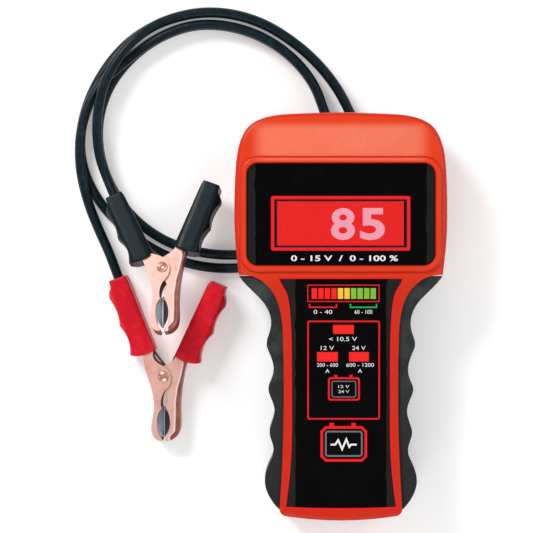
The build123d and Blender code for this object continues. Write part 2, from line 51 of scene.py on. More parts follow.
MM = 0.001
TESTER = "tester"
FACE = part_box("keypad_overlay")[1][2]    # top of the keypad sheet
PRINT = 0.12 * MM            # how far a print stands up
SINK = 0.02 * MM             # how far its foot is sunk into the face under it
MERGE = 0.001 * MM           # points closer than this are one

# Degrees that a clamp's rivet leans, then the start of each handle, in mm from the rivet,
# and the degrees that the handle leans out.
ROLL = -5
CLAMPS = {
    "black": {"tilt": -13.2, "left": ((-12.2, 5.9), 23.7), "right": ((14.2, 11.2), 21.0)},
    "red": {"tilt": 2.5, "left": ((-12.2, 14.4), 19.3), "right": ((13.9, 10.4), 22.7)},
}
# The line of a jaw's fold: mm along the clamp and mm out from its middle.
FOLD = [(-37, 3.8), (-33.6, 6.9), (-24.8, 7.3), (-16, 7.3), (-7.2, 8.6), (-1, 10.4), (6.9, 12.1)]


def clamp_place(colour):
    """A clamp's own frame: origin in its rivet, handles up Y, jaws down Y."""
    low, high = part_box(f"{colour}_rivet")
    centre = (Vector(low) + Vector(high)) / 2
    tilt = Matrix.Rotation(radians(CLAMPS[colour]["tilt"]), 4, "X")
    return Matrix.Translation(centre) @ tilt @ Matrix.Rotation(radians(ROLL), 4, "Y")


# ---------------------------------------------------------------- camera, light and floor

VIEW_CENTRE = (-44.7 * MM, 30.0 * MM)
VIEW_WIDTH = 320 * MM
CAMERA_HEIGHT = 2.6
SENSOR = 36


def make_camera():
    """A long lens looking straight down."""
    data = bpy.data.cameras.new("camera")
    data.sensor_width = SENSOR
    data.lens = SENSOR * (CAMERA_HEIGHT - FACE) / VIEW_WIDTH
    data.clip_end = 10
    camera = bpy.data.objects.new("camera", data)
    camera.location = (*VIEW_CENTRE, CAMERA_HEIGHT)
    bpy.context.scene.collection.objects.link(camera)
    bpy.context.scene.camera = camera


def soft_light(name, place, aim, size, watts, tint=(1, 1, 1)):
    """A square soft box at place, turned to aim."""
    data = bpy.data.lights.new(name, "AREA")
    data.size = size
    data.energy = watts
    data.color = tint
    light = bpy.data.objects.new(name, data)
    light.location = place
    light.rotation_euler = (Vector(aim) - Vector(place)).to_track_quat("-Z", "Y").to_euler()
    bpy.context.scene.collection.objects.link(light)


def make_surroundings():
    """A pale studio: even light from all round and three soft boxes."""
    world = bpy.data.worlds.new("studio")
    world.use_nodes = True
    background = world.node_tree.nodes["Background"]
    background.inputs["Color"].default_value = (1, 1, 1, 1)
    background.inputs["Strength"].default_value = 0.42
    bpy.context.scene.world = world
    bpy.context.scene.view_settings.view_transform = "Standard"
    soft_light("key", (-0.8, 0.9, 1.0), (-0.03, 0.03, 0), 0.55, 15)
    soft_light("fill", (1.0, 0.1, 0.9), (-0.03, 0.03, 0), 0.9, 4.5)
    soft_light("low", (-0.2, -0.95, 0.8), (-0.03, 0.0, 0), 0.8, 4)


# ---------------------------------------------------------------- shader maths

def tone(red, green, blue):
    """A colour given as sRGB levels, as the linear numbers that shaders use."""
    levels = [level / 255 for level in (red, green, blue)]
    linear = [(x + 0.055) ** 2.4 / 1.055 ** 2.4 if x > 0.04045 else x / 12.92 for x in levels]
    return (*linear, 1.0)


class Value:
    """A number or colour that changes over a surface; arithmetic on it adds Math nodes."""

    def __init__(self, finish, socket):
        self.finish = finish
        self.socket = socket

    def math(self, operation, *terms):
        return self.finish.node("Math", {"operation": operation}, dict(enumerate(terms)))

    def __add__(self, other):
        return self.math("ADD", self, other)

    def __sub__(self, other):
        return self.math("SUBTRACT", self, other)

    def __rsub__(self, other):
        return self.math("SUBTRACT", other, self)

    def __mul__(self, other):
        return self.math("MULTIPLY", self, other)

    def __truediv__(self, other):
        return self.math("DIVIDE", self, other)

    def __abs__(self):
        return self.math("ABSOLUTE", self)

    __radd__ = __add__
    __rmul__ = __mul__

    def rise(self, low, high):
        """0 below low, 1 above high, smooth between."""
        settings = {"interpolation_type": "SMOOTHSTEP"}
        return self.finish.node("MapRange", settings, {0: self, 1: low, 2: high, 3: 0.0, 4: 1.0})


class Finish:
    """One material: its shader and the nodes that feed it."""

    def __init__(self, name, **constants):
        self.material = bpy.data.materials.new(name)
        self.material.use_nodes = True
        self.tree = self.material.node_tree
        self.shader = self.tree.nodes["Principled BSDF"]
        for socket, value in constants.items():
            self.shader.inputs[socket.replace("_", " ")].default_value = value

    def node(self, kind, settings=None, values=None, output=0):
        """Adds any node: its settings first, then the values or links of its sockets."""
        made = self.tree.nodes.new("ShaderNode" + kind)
        for name, value in (settings or {}).items():
            if name == "stops":
                self.fill_ramp(made.color_ramp, value)
            else:
                setattr(made, name, value)
        for socket, value in (values or {}).items():
            if isinstance(value, Value):
                self.tree.links.new(value.socket, made.inputs[socket])
            else:
                made.inputs[socket].default_value = value
        return Value(self, made.outputs[output])

    @staticmethod
    def fill_ramp(ramp, stops):
        """Gives a colour ramp its stops, each a position and a colour."""
        while len(ramp.elements) < len(stops):
            ramp.elements.new(1.0)
        for element, (place, colour) in zip(ramp.elements, stops):
            element.position = place
            element.color = colour

    def set(self, socket, value):
        """Feeds a socket of the shader."""
        self.tree.links.new(value.socket, self.shader.inputs[socket])

    # ---- patterns

    def place(self, stretch=(1, 1, 1)):
        """Object coordinates in metres, each axis multiplied by stretch."""
        point = self.node("TexCoord", output="Object")
        return self.node("VectorMath", {"operation": "MULTIPLY"}, {0: point, 1: stretch})

    def axes(self):
        """X, Y and Z in millimetres."""
        point = self.place((1000, 1000, 1000))
        return [self.node("SeparateXYZ", None, {0: point}, output=i) for i in range(3)]

    def noise(self, size, detail=3.0, roughness=0.55, stretch=(1, 1, 1)):
        """Soft noise whose features are about size millimetres across."""
        values = {"Vector": self.place(stretch), "Scale": 1 / (size * MM)}
        values.update({"Detail": detail, "Roughness": roughness})
        return self.node("TexNoise", None, values)

    def cells(self, size):
        """Cells about size millimetres across: 0 in the middle of each, more towards its edge."""
        values = {"Vector": self.place(), "Scale": 1 / (size * MM)}
        return self.node("TexVoronoi", None, values, output="Distance")

    def mix(self, factor, first, second):
        """first where factor is 0, second where it is 1."""
        settings = {"data_type": "RGBA", "clamp_factor": True}
        return self.node("Mix", settings, {0: factor, 6: first, 7: second}, output=2)

    def bump(self, height, distance, strength=1.0, under=None):
        """Relief: height from 0 to 1 is distance millimetres high."""
        values = {"Height": height, "Distance": distance * MM, "Strength": strength}
        if under is not None:
            values["Normal"] = under
        return self.node("Bump", None, values)

    def up(self):
        """How far a face looks up: 1 on top, 0 on a wall."""
        normal = self.node("NewGeometry", output="Normal")
        return self.node("SeparateXYZ", None, {0: normal}, output=2)


# ---------------------------------------------------------------- finishes

ROUGH_SPREAD = 0.08          # how far the roughness of plastic strays either way


def moulded(name, main, worn, grain, rough, relief=0.02, **constants):
    """Injection-moulded plastic: fine spark texture, faint flow marks and dulled patches."""
    finish = Finish(name, **constants)
    patches = finish.noise(26, 2.0)
    fine = finish.noise(grain, 4.0, 0.6)
    wear = patches.rise(0.35, 0.75) * 0.6 + fine.rise(0.4, 0.7) * 0.25
    finish.set("Base Color", finish.mix(wear, main, worn))
    finish.set("Roughness", finish.noise(9, 3.0) * ROUGH_SPREAD * 2 + (rough - ROUGH_SPREAD))
    finish.set("Normal", finish.bump(fine, relief, 0.6))
    return finish


def case_finish():
    """Orange case: satin, with painted light on its top planes, a pinkish painted highlight on the
    head's top band and painted shade down its sides.
    """
    finish = Finish("case_orange", Specular_IOR_Level=0.28)
    x, y, z = finish.axes()
    fine = finish.noise(0.55, 4.0, 0.6)
    patches = finish.noise(24, 2.0)
    # level: the case's top planes, which get painted light.
    level = finish.up().rise(0.9, 0.995) * z.rise(40, 42.8)
    # upper: the head's top band, which gets a painted highlight.
    upper = level * y.rise(92, 96) * (1 - y.rise(112, 118)) * (1 - abs(x).rise(44, 56))
    speck = finish.cells(1.1).rise(0.45, 0.1)
    # side: painted shade, darker the lower down the case's sides.
    side = finish.mix(z.rise(14, 42), tone(150, 12, 0), tone(206, 34, 2))
    # head and neck: painted light on the top planes, weaker on the neck than on the head.
    head = finish.mix(level * (finish.noise(30, 2.0) * 0.5 + 0.5), side, tone(228, 62, 14))
    neck = finish.mix(level * 0.6, side, tone(200, 40, 6))
    body = finish.mix(y.rise(14, 34), neck, head)
    # Pinkish painted highlight on the head's top band, broken up by patches.
    face = finish.mix(upper * (patches * 0.3 + 0.6), body, tone(240, 128, 100))
    flecks = speck * upper * 0.3 + fine.rise(0.5, 0.8) * 0.08
    finish.set("Base Color", finish.mix(flecks, face, tone(222, 44, 34)))
    finish.set("Roughness", finish.noise(7, 3.0) * 0.14 + 0.3)
    finish.set("Normal", finish.bump(fine, 0.03, 0.55))
    return finish


def grip_rubber():
    """Side grips: black rubber with a fine pebble grain, and grey blotches that are dust and a
    painted highlight, heavier towards the top.
    """
    finish = Finish("grip_rubber", Specular_IOR_Level=0.35)
    y = finish.axes()[1]
    pebble = finish.cells(0.9)
    dust = finish.noise(11, 4.0)
    # upper: the grey grows towards the top of the grips, a painted highlight added to the dust.
    upper = y.rise(-95, 20)
    dust_and_highlight = finish.mix(dust.rise(0.3, 0.75) * upper, tone(17, 21, 24), tone(58, 65, 62))
    finish.set("Base Color", finish.mix(pebble.rise(0.2, 0.6) * 0.25, dust_and_highlight, tone(30, 34, 36)))
    finish.set("Roughness", finish.noise(5, 3.0) * 0.2 + 0.42)
    finish.set("Normal", finish.bump(pebble, 0.09, 0.6))
    return finish


def lens_finish():
    """Glossy black window with a trace of dust and hairline wipes."""
    finish = Finish("window_black", Specular_IOR_Level=0.1)
    x = finish.axes()[0]
    ragged = finish.noise(12, 2.0) * 3
    margin = (abs(x) + ragged).rise(52.6, 53.2)
    wipes = finish.noise(0.8, 2.0, 0.5, (1, 14, 1))
    dust = finish.noise(16, 5.0, 0.65)
    glass = finish.mix(dust.rise(0.52, 0.85), tone(0, 0, 1), tone(7, 7, 8))
    finish.set("Base Color", finish.mix(margin, glass, tone(30, 30, 27)))
    finish.set("Roughness", wipes * 0.05 + dust * 0.1 + 0.1)
    return finish


def overlay_finish():
    """Printed keypad sheet: black middle, dark grey margins, a fine satin texture."""
    finish = Finish("keypad_black", Specular_IOR_Level=0.07)
    x = finish.axes()[0]
    fine = finish.noise(0.3, 3.0)
    edge = finish.noise(9, 2.0)
    margin = (abs(x) + edge * 2.4).rise(28.1, 28.9)
    black = finish.mix(finish.noise(14, 4.0).rise(0.4, 0.9), tone(0, 0, 0), tone(4, 4, 4))
    finish.set("Base Color", finish.mix(margin, black, tone(34, 33, 30)))
    finish.set("Roughness", fine * 0.12 + 0.36)
    finish.set("Normal", finish.bump(fine, 0.01, 0.5))
    return finish


def ink(name, colour, deeper, glow=0.0):
    """Screen-printed ink: slightly uneven, slightly glossy; with glow it gets a faint painted glow,
    though ink gives no light.
    """
    finish = Finish(name, Specular_IOR_Level=0.2, Emission_Strength=glow)
    uneven = finish.noise(1.6, 4.0, 0.6)
    shade = finish.mix(uneven.rise(0.35, 0.75), colour, deeper)
    finish.set("Base Color", shade)
    # The ink's own colour as emission: painted glow.
    finish.set("Emission Color", shade)
    finish.set("Roughness", uneven * 0.15 + 0.3)
    return finish


def lit_window(name, colour, deeper, glow):
    """Translucent coloured window over a lamp, faintly milky."""
    finish = Finish(name, Specular_IOR_Level=0.35, Emission_Strength=glow)
    milky = finish.noise(2.2, 3.0)
    shade = finish.mix(milky.rise(0.35, 0.75), colour, deeper)
    finish.set("Base Color", shade)
    finish.set("Emission Color", shade)
    finish.set("Roughness", milky * 0.1 + 0.22)
    return finish


def metal(name, main, second, rough, size=2.0):
    """Sheet or wire metal, finely mottled, with darker stains."""
    finish = Finish(name, Metallic=1.0)
    streaks = finish.noise(size, 4.0, 0.6)
    stain = finish.noise(8, 4.0, 0.6)
    finish.set("Base Color", finish.mix(stain.rise(0.42, 0.72), main, second))
    finish.set("Roughness", streaks * 0.22 + (rough - 0.1))
    finish.set("Normal", finish.bump(streaks, 0.01, 0.5))
    return finish


def jaw_copper(name, place):
    """Copper-plated clamp sheet: a pale painted highlight along its fold, the web beyond that
    painted brown as shade, and painted shade on the faces that don't look up.
    """
    finish = Finish(name, Metallic=0.35)
    values = {"Vector": finish.node("TexCoord", output="Object"), "Location": place.translation,
              "Rotation": place.to_euler()}
    local = finish.node("Mapping", {"vector_type": "TEXTURE"}, values)
    x, y = [finish.node("SeparateXYZ", None, {0: local}, output=i) * 1000 for i in range(2)]
    # A ramp holds the line of the fold: from reach mm below the rivet, over span mm, at most
    # most mm out.
    reach, span, most = 40, 48, 20
    stops = [((along + reach) / span, (*[out / most] * 3, 1)) for along, out in FOLD]
    fold = finish.node("ValToRGB", {"stops": stops}, {0: (y + reach) / span}) * most
    beyond = x - fold
    streaks = finish.noise(0.9, 4.0, 0.6)
    stain = finish.noise(6, 4.0, 0.62)
    plate = finish.mix(stain.rise(0.45, 0.75), tone(236, 184, 172), tone(224, 162, 146))
    # A pale painted highlight along the fold, where the bend would catch the light.
    fold_highlight = finish.mix((1 - abs(beyond + 0.5).rise(0.2, 0.7)) * 0.8, plate, tone(250, 232, 224))
    # web: the channel's side, painted brown as shade, mottled by stains.
    web = finish.mix(stain.rise(0.3, 0.8), tone(132, 66, 54), tone(168, 100, 82))
    sheet = finish.mix(beyond.rise(0.0, 0.35), fold_highlight, web)
    # Painted shade on the faces that don't look up.
    shaded_walls = finish.mix(abs(finish.up()).rise(0.75, 0.3), sheet, tone(142, 76, 62))
    finish.set("Base Color", shaded_walls)
    finish.set("Roughness", streaks * 0.2 + 0.28)
    relief = finish.bump(beyond.rise(-0.6, 1.2), -1.2, 0.8)
    finish.set("Normal", finish.bump(streaks, 0.015, 0.5, relief))
    return finish


def cord_rubber(name, dark, light):
    """Lead sheath and clamp sleeves: smooth vinyl with faint extrusion lines and scuffs."""
    finish = Finish(name, Specular_IOR_Level=0.2)
    scuff = finish.noise(4.5, 5.0, 0.65)
    fine = finish.noise(0.5, 3.0)
    finish.set("Base Color", finish.mix(scuff.rise(0.45, 0.8), dark, light))
    finish.set("Roughness", scuff * 0.2 + 0.28)
    finish.set("Normal", finish.bump(fine + scuff * 0.6, 0.02, 0.5))
    return finish


FINISHES = {
    "case": case_finish(),
    "rubber": grip_rubber(),
    "lens": lens_finish(),
    "red_filter": lit_window("display_red", tone(220, 24, 22), tone(214, 20, 20), 0.08),
    "overlay": overlay_finish(),
    "red_light": lit_window("window_red", tone(234, 28, 26), tone(226, 24, 24), 0.12),
    "amber_light": lit_window("window_amber", tone(240, 188, 60), tone(232, 176, 50), 0.06),
    "green_light": lit_window("window_green", tone(126, 184, 54), tone(112, 172, 46), 0.06),
    "clear_plastic": moulded("display_body", tone(196, 200, 198), tone(170, 175, 174), 0.8, 0.25),
    "key_black": moulded("key_black", tone(1, 1, 1), tone(6, 6, 7), 0.4, 0.4, 0.008,
                         Specular_IOR_Level=0.08),
    "dome_rubber": moulded("dome_rubber", tone(150, 152, 150), tone(128, 130, 130), 0.5, 0.6),
    "carbon": moulded("contact_carbon", tone(30, 30, 31), tone(46, 46, 48), 0.4, 0.55),
    "board": moulded("board_green", tone(20, 92, 52), tone(12, 70, 40), 0.5, 0.35),
    "black_plastic": moulded("back_black", tone(26, 27, 28), tone(40, 41, 42), 0.6, 0.5, 0.03),
    "aluminium": metal("resistor_gold", tone(206, 176, 104), tone(182, 150, 84), 0.35),
    "steel": metal("zinc_steel", tone(206, 208, 210), tone(158, 160, 164), 0.28, 1.2),
    "spring_steel": metal("spring_steel", tone(120, 118, 118), tone(66, 60, 58), 0.34, 1.0),
    "terminal_plastic": moulded("terminal_green", tone(38, 122, 70), tone(28, 100, 56), 0.5, 0.4),
    "brass": metal("brass", tone(214, 186, 116), tone(176, 142, 78), 0.28),
    "cord_black": cord_rubber("lead_black", tone(2, 22, 30), tone(14, 46, 58)),
    "grip_black": cord_rubber("sleeve_black", tone(0, 20, 26), tone(2, 38, 46)),
    "grip_red": cord_rubber("sleeve_red", tone(208, 14, 34), tone(222, 36, 54)),
}
RIVET_FINISH = metal("rivet_copper", tone(232, 180, 162), tone(190, 130, 108), 0.3, 1.0)
# One liner finish twice: a copy with painted shade and a copy with painted light.
LINER_PAINTED_SHADE = moulded("liner_painted_shade", tone(52, 56, 64), tone(20, 22, 26), 0.5, 0.3)
LINER_PAINTED_LIGHT = moulded("liner_painted_light", tone(170, 180, 192), tone(120, 130, 142), 0.5, 0.28)
# Inks given a last number glow faintly: painted light, since ink gives none.
INKS = {
    "red": ink("ink_red", tone(228, 24, 28), tone(220, 20, 24), 0.1),
    "green": ink("ink_green", tone(24, 176, 84), tone(20, 160, 74), 0.12),
    "white": ink("ink_white", tone(232, 232, 232), tone(222, 222, 222), 0.05),
    # Grey ink: only the painted highlight along the key caps' rims.
    "grey": ink("ink_rim_highlight", tone(112, 116, 118), tone(100, 104, 106)),
    "dark": ink("ink_dark", tone(2, 18, 24), tone(4, 24, 30)),
    "pink": ink("ink_pink", tone(230, 152, 168), tone(226, 146, 162), 0.05),
}


def finish_nodes():
    """Puts a finish on each CAD node, by the record's slot of that node."""
    jaws = {colour: jaw_copper(f"jaw_copper_{colour}", clamp_place(colour)) for colour in CLAMPS}
    for part in frame["record"]["subparts"]:
        if part["material_slot"] == "copper":
            material = jaws[part["node"].split("_")[0]].material
        else:
            material = FINISHES[part["material_slot"]].material
        for holder in nodes[part["node"]].material_slots:
            holder.material = material


# ---------------------------------------------------------------- modelling

def clear_selection():
    """Leaves edit mode and selects nothing."""
    if bpy.context.object and bpy.context.object.mode != "OBJECT":
        bpy.ops.object.mode_set(mode="OBJECT")
    bpy.ops.object.select_all(action="DESELECT")


def select_alone(piece):
    clear_selection()
    piece.select_set(True)
    bpy.context.view_layer.objects.active = piece


def linked(name, data):
    """A new object in the scene, selected alone."""
    piece = bpy.data.objects.new(name, data)
    bpy.context.scene.collection.objects.link(piece)
    select_alone(piece)
    return piece


def keep(piece, name, body, material):
    """Names a finished mesh, applies its place and puts it on its body."""
    select_alone(piece)
    bpy.ops.object.transform_apply(location=True, rotation=True, scale=True)
    piece.name = name
    piece.data.name = name
    piece.data.materials.clear()
    piece.data.materials.append(material)
    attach(piece, body)


def outward_faces():
    """In edit mode: turns every face outwards, then leaves edit mode."""
    bpy.ops.mesh.select_all(action="SELECT")
    bpy.ops.mesh.normals_make_consistent(inside=False)
    bpy.ops.object.mode_set(mode="OBJECT")


def keep_print(piece, name, colour, body):
    """In edit mode: makes a sunk flat shape a print of full thickness, and keeps it."""
    bpy.ops.mesh.extrude_region_move(TRANSFORM_OT_translate={"value": (0, 0, PRINT + SINK)})
    outward_faces()
    keep(piece, name, body, INKS[colour].material)


def printed(name, box, colour, radius=0.0, line=None, top=FACE, body=TESTER, chamfer=False):
    """A printed rounded rectangle, or with line only a band inside its edge. Sizes in mm."""
    x0, y0, x1, y1 = box
    middle = ((x0 + x1) / 2 * MM, (y0 + y1) / 2 * MM, top - SINK)
    clear_selection()
    bpy.ops.mesh.primitive_plane_add(size=1, location=middle)
    piece = bpy.context.object
    piece.scale = ((x1 - x0) * MM, (y1 - y0) * MM, 1)
    bpy.ops.object.transform_apply(location=False, rotation=False, scale=True)
    bpy.ops.object.mode_set(mode="EDIT")
    bpy.ops.mesh.select_all(action="SELECT")
    if radius:
        bpy.ops.mesh.bevel(offset=radius * MM, offset_type="OFFSET",
                           segments=1 if chamfer else 7, affect="VERTICES")
    if line:
        # An inset wider than the corner's radius would cross itself, so the rest is a resize.
        first = min(line, 0.8 * radius) if radius else line
        bpy.ops.mesh.inset(thickness=first * MM)
        width, height = x1 - x0 - 2 * first, y1 - y0 - 2 * first
        rest = 2 * (line - first)
        bpy.ops.transform.resize(value=((width - rest) / width, (height - rest) / height, 1))
        bpy.ops.mesh.delete(type="FACE")
        bpy.ops.mesh.select_all(action="SELECT")
    keep_print(piece, name, colour, body)


def lettered(name, words, box, colour="white", heavy=0.0, top=FACE, body=TESTER):
    """Printed figures that fill box, in mm; heavy thickens their strokes."""
    x0, y0, x1, y1 = box
    clear_selection()
    bpy.ops.object.text_add(location=(0, 0, 0))
    piece = bpy.context.object
    piece.data.body = words
    piece.data.size = 1
    piece.data.resolution_u = 5
    piece.data.offset = heavy
    piece.data.extrude = 0.01
    bpy.ops.object.convert(target="MESH")
    piece = bpy.context.object
    points = [v.co for v in piece.data.vertices]
    low = Vector([min(p[i] for p in points) for i in range(3)])
    high = Vector([max(p[i] for p in points) for i in range(3)])
    size = high - low
    target = Vector(((x1 - x0) * MM, (y1 - y0) * MM, PRINT + SINK))
    scale = Vector([target[i] / size[i] for i in range(3)])
    corner = Vector((x0 * MM, y0 * MM, top - SINK))
    piece.scale = scale
    piece.location = corner - Vector([low[i] * scale[i] for i in range(3)])
    bpy.ops.object.mode_set(mode="EDIT")
    bpy.ops.mesh.select_all(action="SELECT")
    bpy.ops.mesh.remove_doubles(threshold=0.0001)    # the mesh is one unit high until scaled
    outward_faces()
    keep(piece, name, body, INKS[colour].material)


def outlined(name, corners, colour, top=FACE, body=TESTER, line=None):
    """A printed shape with these corners, in metres; with line, only a band inside its edge."""
    mesh = bpy.data.meshes.new(name)
    mesh.from_pydata([(x, y, top - SINK) for x, y in corners], [], [range(len(corners))])
    piece = linked(name, mesh)
    bpy.ops.object.mode_set(mode="EDIT")
    bpy.ops.mesh.select_all(action="SELECT")
    if line:
        bpy.ops.mesh.inset(thickness=line * MM)
        bpy.ops.mesh.delete(type="FACE")
        bpy.ops.mesh.select_all(action="SELECT")
    keep_print(piece, name, colour, body)


def stroke(name, points, width, colour, top=FACE, body=TESTER):
    """A printed line of a given width through points, in mm, mitred at its corners."""
    track = [Vector(point) for point in points]
    sides = ([], [])
    for i, point in enumerate(track):
        before = (point - track[i - 1]).normalized() if i else (track[1] - point).normalized()
        after = (track[i + 1] - point).normalized() if i + 1 < len(track) else before
        middle = (before + after).normalized()
        across = Vector((-middle.y, middle.x)) * (width / 2 / max(middle.dot(before), 0.4))
        sides[0].append((point + across) * MM)
        sides[1].append((point - across) * MM)
    corners = [tuple(point) for point in sides[0] + sides[1][::-1]]
    outlined(name, corners, colour, top, body)


def outline_of(node):
    """The outer edge of a CAD node's top face, in order."""
    shape = bmesh.new()
    shape.from_mesh(nodes[node].data)
    bmesh.ops.remove_doubles(shape, verts=shape.verts, dist=MERGE)
    top = max(v.co.z for v in shape.verts) - 0.05 * MM
    rest = [f for f in shape.faces if abs(f.normal.z) < 0.9 or f.calc_center_median().z < top]
    bmesh.ops.delete(shape, geom=rest, context="FACES")
    here = min(shape.verts, key=lambda v: v.co.y)
    points, seen = [], set()
    while here is not None:
        seen.add(here)
        points.append((here.co.x, here.co.y))
        along = [e.other_vert(here) for e in here.link_edges if e.is_boundary]
        here = next((v for v in along if v not in seen), None)
    shape.free()
    return points


# ---------------------------------------------------------------- leads

LEAD_WIDTH = 6 * MM
# Each route, in mm: from inside the case, out through its grommet under the head, once round on
# the floor, half round again on top, and into the clamp's left handle.
BLACK_ROUTE = [
    (28, 15.5, 7.8), (28, 50, 7.8), (26.5, 75, 3.4), (19, 99, 3.1), (7.5, 122, 3.1),
    (-4.5, 144, 3.1), (-23.5, 164, 3.1), (-49.5, 180.5, 3.1), (-79, 186.3, 3.1),
    (-108, 180.5, 3.1), (-131.5, 166, 3.1), (-149, 142.5, 3.1), (-158, 117.5, 3.1),
    (-158.5, 94, 3.1), (-149, 71.5, 3.1), (-132.5, 53.5, 3.1), (-110, 37.5, 3.1),
    (-84.5, 29.3, 3.1), (-58, 28.6, 4.2), (-31, 34, 7.6), (-9, 47, 9.7),
    (6.5, 68, 9.7), (14.5, 94, 9.7), (7.5, 122, 9.7), (-4.5, 144, 9.7),
    (-23.5, 164, 9.7), (-49.5, 180.5, 9.7), (-79, 186.3, 9.7), (-107, 180.5, 10.2),
    (-126.8, 167.5, 16.4), (-142, 146.5, 16.4), (-148, 123, 14.0), (-147.5, 101, 11.4),
    (-142.4, 84.6, 10.8), (-132.8, 63.5, 16.6),
]
RED_ROUTE = [
    (14, 15.5, 7.8), (14, 50, 7.8), (11, 75, 3.4), (2.5, 99, 3.1), (-8.5, 122, 3.1),
    (-16.5, 144, 3.1), (-35, 163.5, 3.1), (-59.5, 175.5, 3.1), (-87, 178.5, 3.1),
    (-112, 169.5, 3.1), (-130.5, 154.5, 3.1), (-143, 136.5, 3.1), (-148.5, 113.5, 3.1),
    (-144.8, 88.5, 3.1), (-131.5, 64.5, 3.1), (-111.5, 47.3, 3.1), (-87, 38.2, 3.1),
    (-61, 36.4, 4.2), (-36, 41.5, 7.4), (-17, 57, 9.7), (-7, 79, 9.7),
    (-3.5, 100, 9.7), (-8.5, 122, 9.7), (-16.5, 144, 9.7), (-35, 163.5, 9.7),
    (-59.5, 175.5, 9.7), (-87, 178.5, 9.7), (-112, 169.5, 9.7), (-132.5, 153.5, 9.7),
    (-149, 138.5, 9.7), (-158, 115.5, 9.7), (-158.8, 91.5, 9.6), (-154, 70, 7.3),
    (-146.6, 51.5, 6.9), (-139.4, 36.5, 9.4), (-131.5, 13.9, 9.1),
]
# Colour, route, mm across where it leaves the case, and length in metres.
LEADS = (("black", BLACK_ROUTE, 28, 0.899), ("red", RED_ROUTE, 14, 0.867))
CLAMP_NODES = ("cable_jaw", "free_jaw", "cable_teeth", "free_teeth", "lead_grommet")
CLAMP_PIECES = ("cable_grip_sleeve", "free_grip_sleeve", "rivet_heads", "spring_coil",
                "spring_arm", "cable_liner", "free_liner")


def tube(name, points, radius, steps, sides):
    """A round curve through points, in metres, smoother with more steps and sides."""
    data = bpy.data.curves.new(name, "CURVE")
    data.dimensions = "3D"
    spline = data.splines.new("NURBS")
    spline.points.add(len(points) - 1)
    for knot, point in zip(spline.points, points):
        knot.co = (*point, 1)
    spline.order_u = 3
    spline.use_endpoint_u = True
    spline.resolution_u = steps
    data.bevel_depth = radius
    data.bevel_resolution = sides
    data.use_fill_caps = True
    return linked(name, data)


def make_leads():
    """The two leads, each a cord from the case into its clamp."""
    for colour, route, exit_x, length in LEADS:
        points = [(x * MM, y * MM, z * MM) for x, y, z in route]
        piece = tube(f"{colour}_lead_sheath", points, LEAD_WIDTH / 2, 12, 5)
        piece.data.materials.append(FINISHES["cord_black"].material)
        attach(piece, TESTER)
        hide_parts(f"{colour}_lead")
        ends = [nodes[f"{colour}_{part}"] for part in CLAMP_NODES]
        ends += [bpy.data.objects[f"{colour}_{part}"] for part in CLAMP_PIECES]


# ---------------------------------------------------------------- clamps

SLEEVE_GRAIN = 0.45 * MM     # voxel of the softened sleeves
SLEEVE_MIDDLE = 0.7          # mm out from its handle's line to where a sleeve is thickest
SLEEVE_REACH = 8.6           # mm from there to its side
WIRE = 0.75 * MM             # radius of the spring's wire
COIL_RADIUS = 3.5            # mm, and the next three too
COIL_TOP = 3.0
RIVET_SHANK = 2.45
RIVET_LENGTH = 13.3
# Spring arms, in mm: the fixed one from inside its handle to the coil, then the moving one.
FIXED_ARM = {
    "black": [(-13.4, 19.0), (-10.6, 14.6), (-5.4, 9.8), (0.0, 6.2), (3.0, 3.2)],
    "red": [(-7.6, 19.0), (-5.9, 15.3), (-2.6, 10.6), (0.8, 6.6), (3.0, 3.2)],
}
MOVING_ARM = [(2.8, 3.2), (5.0, 9.5), (8.6, 15.5), (11.0, 20.0)]


def round_shoulders(piece, colour, side):
    """Thins a sleeve towards its outer side, and a little towards its inner one."""
    start, lean = CLAMPS[colour][side]
    place = clamp_place(colour)
    back = place.inverted()
    outward = Vector((cos(radians(lean)), -sin(radians(lean))))
    if side == "left":
        outward.x = -outward.x
    for vertex in piece.data.vertices:
        point = back @ vertex.co
        across = (Vector((point.x, point.y)) - Vector(start) * MM).dot(outward) / MM
        t = min(abs(across - SLEEVE_MIDDLE) / SLEEVE_REACH, 1.0)
        depth = 0.6 if across > SLEEVE_MIDDLE else 0.1
        point.z *= 1.04 - depth * t ** 5
        vertex.co = place @ point


def sleeve(colour, half, body):
    """A moulded vinyl sleeve: its CAD shape with every edge softened."""
    node = f"{colour}_{half}_grip"
    piece = linked(f"{node}_sleeve", nodes[node].data.copy())
    bpy.ops.object.mode_set(mode="EDIT")
    bpy.ops.mesh.select_all(action="SELECT")
    bpy.ops.mesh.remove_doubles(threshold=MERGE)
    bpy.ops.object.mode_set(mode="OBJECT")
    remesh = piece.modifiers.new("remesh", "REMESH")
    remesh.mode = "VOXEL"
    remesh.voxel_size = SLEEVE_GRAIN
    bpy.ops.object.modifier_apply(modifier=remesh.name)
    smooth = piece.modifiers.new("soften", "SMOOTH")
    smooth.factor = 0.6
    smooth.iterations = 14
    bpy.ops.object.modifier_apply(modifier=smooth.name)
    round_shoulders(piece, colour, "left" if half == "cable" else "right")
    bpy.ops.object.shade_smooth()
    slot = "grip_black" if colour == "black" else "grip_red"
    keep(piece, piece.name, body, FINISHES[slot].material)
    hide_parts(node)


